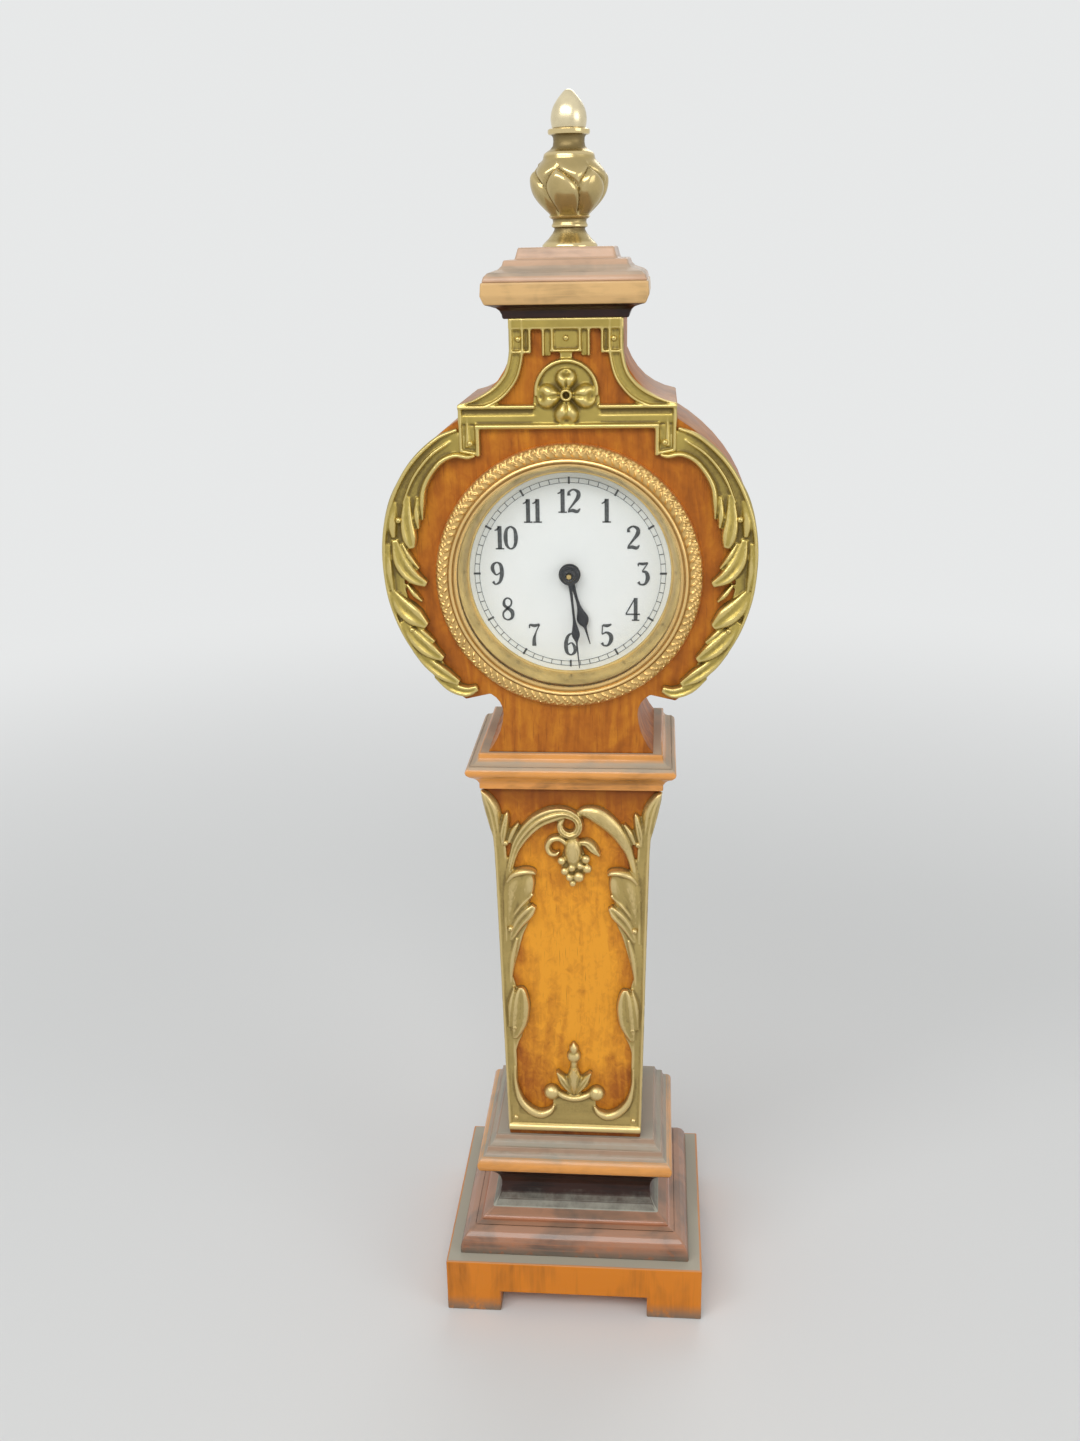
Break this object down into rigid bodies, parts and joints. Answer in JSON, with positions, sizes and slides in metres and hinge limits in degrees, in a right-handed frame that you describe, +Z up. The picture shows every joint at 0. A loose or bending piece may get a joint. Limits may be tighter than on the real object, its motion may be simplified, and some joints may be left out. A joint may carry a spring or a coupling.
{
  "type": "miniature longcase clock",
  "caption": "Small wooden longcase mantel clock with a waisted trunk, round head, pierced brass mounts, brass finial and a wound drum movement set from the back.",
  "frame": {"origin": "middle of the plinth's footprint, at the surface that the feet stand on", "axes": "+Z up the case to the finial, the dial faces -Y, +X is to the viewer's right"},
  "size_m": [0.1024, 0.072, 0.3585],
  "materials": {
    "wood_panel": "satin",
    "wood_moulding": "satin",
    "brass_antique": "satin",
    "brass_lacquered": "satin",
    "brass_rosy": "satin",
    "brass_polished": "polished",
    "nickel": "polished",
    "steel_black": "satin",
    "steel_bright": "satin",
    "dial_white": "satin",
    "glass_clear": "polished"
  },
  "bodies": {
    "case": {"plinth": "wood_panel", "base_ovolo": "wood_moulding", "base_scotia": "wood_moulding", "base_bead": "wood_moulding", "trunk": "wood_panel", "trunk_capital": "wood_panel", "head_case": "wood_panel", "cornice": "wood_moulding", "cap_top": "wood_moulding", "finial_urn": "brass_polished", "finial_acorn": "nickel", "finial_stud": "steel_bright", "trunk_mount": "brass_antique", "pediment_mount": "brass_lacquered", "scroll_mount_left": "brass_lacquered", "scroll_mount_right": "brass_lacquered", "bezel": "brass_rosy", "sight_ring": "brass_rosy", "glass": "glass_clear", "dial": "dial_white", "movement_drum": "brass_rosy", "back_cover": "brass_lacquered", "front_plate": "brass_polished", "back_plate": "brass_polished", "pillar_1": "brass_polished", "pillar_2": "brass_polished", "pillar_3": "brass_polished", "pillar_4": "brass_polished", "click_screw": "steel_bright", "minute_stud": "steel_bright"},
    "hand_setting": {"minute_hand": "steel_black", "hand_collet": "steel_black", "cannon_pinion": "steel_bright", "centre_arbor": "steel_bright", "set_knob": "brass_lacquered"},
    "minute_work": {"minute_wheel": "brass_polished"},
    "hour_work": {"hour_wheel": "brass_polished", "hour_hand": "steel_black"},
    "winding": {"winding_key": "brass_lacquered", "barrel_arbor": "steel_bright", "ratchet_wheel": "steel_bright"},
    "pawl": {"click": "steel_bright"},
    "barrel": {"mainspring_barrel": "brass_polished", "barrel_lid": "brass_polished", "mainspring": "steel_bright"},
    "centre": {"centre_wheel": "brass_polished", "centre_pinion": "steel_bright"},
    "third": {"third_arbor": "steel_bright", "third_wheel": "brass_polished"},
    "fourth": {"fourth_arbor": "steel_bright", "fourth_wheel": "brass_polished"},
    "escape": {"escape_arbor": "steel_bright", "escape_wheel": "brass_polished"},
    "pallets": {"pallet_lever": "steel_bright"},
    "balance": {"balance_staff": "steel_bright", "balance_wheel": "brass_polished", "hairspring": "steel_bright"}
  },
  "joints": [
    {"name": "set_hands", "type": "hinge", "parent": "case", "child": "hand_setting", "pos_m": [0, 0, 0.234], "axis": [0, 1, 0], "continuous": true},
    {"name": "minute_wheel_turn", "type": "hinge", "parent": "case", "child": "minute_work", "pos_m": [0.006, 0, 0.22361], "axis": [0, 1, 0], "continuous": true},
    {"name": "hour_hand_turn", "type": "hinge", "parent": "case", "child": "hour_work", "pos_m": [0, 0, 0.234], "axis": [0, 1, 0], "continuous": true},
    {"name": "wind", "type": "hinge", "parent": "case", "child": "winding", "pos_m": [-0.0099, 0, 0.2241], "axis": [0, -1, 0], "range_deg": [0, 1800]},
    {"name": "pawl_lift", "type": "hinge", "parent": "case", "child": "pawl", "pos_m": [-0.01291, 0, 0.23237], "axis": [0, -1, 0], "range_deg": [0, 12]},
    {"name": "fourth_turn", "type": "hinge", "parent": "case", "child": "fourth", "pos_m": [0.01406, 0, 0.2397], "axis": [0, 1, 0], "continuous": true},
    {"name": "third_turn", "type": "hinge", "parent": "case", "child": "third", "pos_m": [0.01142, 0, 0.22984], "axis": [0, 1, 0], "continuous": true},
    {"name": "centre_turn", "type": "hinge", "parent": "case", "child": "centre", "pos_m": [0, 0, 0.234], "axis": [0, 1, 0], "continuous": true},
    {"name": "barrel_turn", "type": "hinge", "parent": "case", "child": "barrel", "pos_m": [-0.0099, 0, 0.2241], "axis": [0, 1, 0], "continuous": true},
    {"name": "escape_turn", "type": "hinge", "parent": "case", "child": "escape", "pos_m": [0.00661, 0, 0.24594], "axis": [0, 1, 0], "continuous": true},
    {"name": "balance_swing", "type": "hinge", "parent": "case", "child": "balance", "pos_m": [-0.00615, 0, 0.25037], "axis": [0, 1, 0], "range_deg": [-220, 220]},
    {"name": "pallet_rock", "type": "hinge", "parent": "case", "child": "pallets", "pos_m": [0.00311, 0, 0.25201], "axis": [0, 1, 0], "range_deg": [-3, 3]}
  ],
  "couplings": [
    {"joint": "minute_wheel_turn", "follows": "set_hands", "ratio": -0.33333},
    {"joint": "hour_hand_turn", "follows": "set_hands", "ratio": 0.083333},
    {"joint": "third_turn", "follows": "fourth_turn", "ratio": -0.13333},
    {"joint": "centre_turn", "follows": "fourth_turn", "ratio": 0.016667},
    {"joint": "barrel_turn", "follows": "fourth_turn", "ratio": -0.0027778},
    {"joint": "escape_turn", "follows": "fourth_turn", "ratio": -8},
    {"joint": "pallet_rock", "follows": "balance_swing", "ratio": -0.013636}
  ]
}
